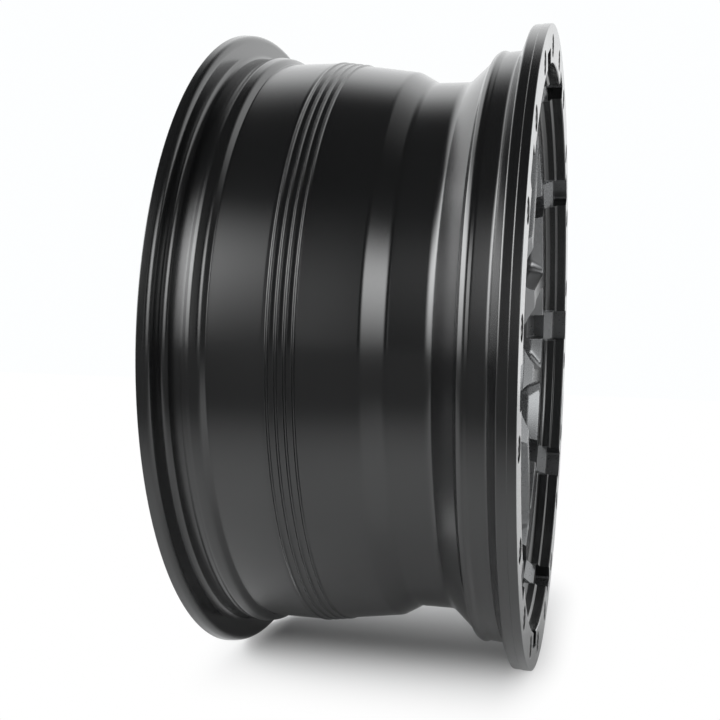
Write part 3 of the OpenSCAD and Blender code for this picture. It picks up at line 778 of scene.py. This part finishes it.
def buildFloor():
    floor = startPiece("floor", bpy.ops.mesh.primitive_grid_add, x_subdivisions=4, y_subdivisions=4,
                       size=stage["size"], location=(0, 0, -rim["flangeR"] * mm))
    applyPlace(floor)
    material, w, place = newMaterial("paperFloor")
    x, y = place.axes()[:2]
    # in the paint's reflections the floor darkens away from the wheel on the camera's side
    mirrored = w.node("ShaderNodeLightPath", output="Is Glossy Ray")
    fade = (x * -1).step(*stage["darkFrom"]) * (1 - stage["mirroredDark"])
    shade = (mirrored * fade).blend(grey(stage["white"]), grey(0.0))
    diffuse = w.node("ShaderNodeBsdfDiffuse", {"Color": shade})
    # to the camera it turns white outside a box under the wheel, sooner past the two flanges
    white = w.node("ShaderNodeEmission", {"Color": grey(1.0), "Strength": 1.0})
    seen = w.node("ShaderNodeLightPath", output="Is Camera Ray")
    along = w.maths("MAXIMUM", ((x - stage["shadowAt"]) ** 2) ** 0.5 - stage["shadowLong"], 0.0)
    aside = w.maths("MAXIMUM", (y * y) ** 0.5 - stage["shadowHalf"], 0.0) * stage["sideFade"]
    far = ((along * along + aside * aside) ** 0.5).step(0.0, stage["shadowFade"])
    mixed = w.node("ShaderNodeMixShader", {0: far * seen, 1: diffuse, 2: white})
    w.node("ShaderNodeOutputMaterial", {"Surface": mixed})
    putOn(floor, material)


# ranges of a direction: left, right and glow by its share along the axle, back and camera by its share
# along X, rise and fall by its height
studio = {
    "leftLevel": 7.0, "leftSide": (0.08, 0.76), "leftRise": (-0.2, 0.42), "leftFall": (0.4, 0.78),
    "rightLevel": 4.5, "rightSide": (0.4, 0.66), "rightSideEnd": (0.86, 0.98), "rightRise": (-0.15, 0.38),
    "rightFall": (0.38, 0.66),
    "glowLevel": 0.9, "glowSide": (-0.12, 0.06), "glowSideEnd": (0.04, 0.11), "glowRise": (-0.5, 0.25),
    "glowFall": (0.3, 0.9),
    "backLevel": 1.4, "backSide": (-0.05, 0.3), "backFall": (0.72, 0.97),
    "cameraSide": (0.3, 0.5), "ceiling": 0.05, "white": (0.985, 0.995, 1, 1),
}


def buildStudio():
    # white surround for the camera; the wheel is lit by and mirrors a pale backdrop behind it, two soft
    # boxes beside the camera and a faint glow between them, and the rest is dark
    s = studio
    world = bpy.data.worlds.new("studio")
    bpy.context.scene.world = world
    world.use_nodes = True
    world.node_tree.nodes.clear()
    w = Wire(world.node_tree)
    x, y, z = w.node("ShaderNodeTexCoord", output="Generated").axes()
    flat = (x * x + y * y + 1e-6) ** 0.5
    side = y / flat
    before = 1 - (x / flat + side * 0.1).step(*s["cameraSide"])
    left = side.step(*s["leftSide"]) ** 2 * z.band(s["leftRise"], s["leftFall"])
    glow = side.band(s["glowSide"], s["glowSideEnd"]) * z.band(s["glowRise"], s["glowFall"])
    right = (side * -1).band(s["rightSide"], s["rightSideEnd"]) * z.band(s["rightRise"], s["rightFall"])
    boxes = (left * s["leftLevel"] + right * s["rightLevel"] + glow * s["glowLevel"]) * before
    back = x.step(*s["backSide"]) * (1 - z.step(*s["backFall"])) * s["backLevel"]
    level = w.maths("MAXIMUM", boxes + s["ceiling"], back)
    seen = w.node("ShaderNodeLightPath", output="Is Camera Ray")
    light = w.node("ShaderNodeBackground", {"Color": s["white"], "Strength": seen * (1 - level) + level})
    w.node("ShaderNodeOutputWorld", {"Surface": light})


camera = {"at": (-0.8287, -0.1703, -0.0066), "turn": (89.54, -1.88, -76.19), "lens": 54.01, "sensor": 36,
          "nearest": 0.01}


def buildCamera():
    data = bpy.data.cameras.new("camera")
    eye = bpy.data.objects.new("camera", data)
    bpy.context.scene.collection.objects.link(eye)
    eye.location = camera["at"]
    eye.rotation_euler = [math.radians(a) for a in camera["turn"]]
    data.sensor_width = camera["sensor"]
    data.lens = camera["lens"]
    data.clip_start = camera["nearest"]
    bpy.context.scene.camera = eye


wheel = finishPiece(buildWheel())
print("stage: wheel has", len(wheel.data.polygons), "faces")
ringBolts = finishPiece(buildRingBolts())
centreCap = finishPiece(buildCentreCap())
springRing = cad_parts["cap_spring_ring"]
print("stage: small pieces done")

putOn(wheel, wheelPaint())
putOn(ringBolts, blackenedSteel("blackBolts", steel["boltBase"], steel["boltRough"]))
putOn(centreCap, mouldedPlastic())
putOn(springRing, blackenedSteel("springWire", steel["wireBase"], steel["wireRough"]))

for piece, node, slot in [(wheel, "wheel", "wheel_paint"), (ringBolts, "ring_bolts", "bolt_steel"),
                          (centreCap, "centre_cap", "cap_plastic")]:
    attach(piece, "root")
    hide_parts(node)

buildFloor()
buildStudio()
buildCamera()
bpy.context.scene.view_settings.view_transform = "Standard"
print("stage: studio and camera done")
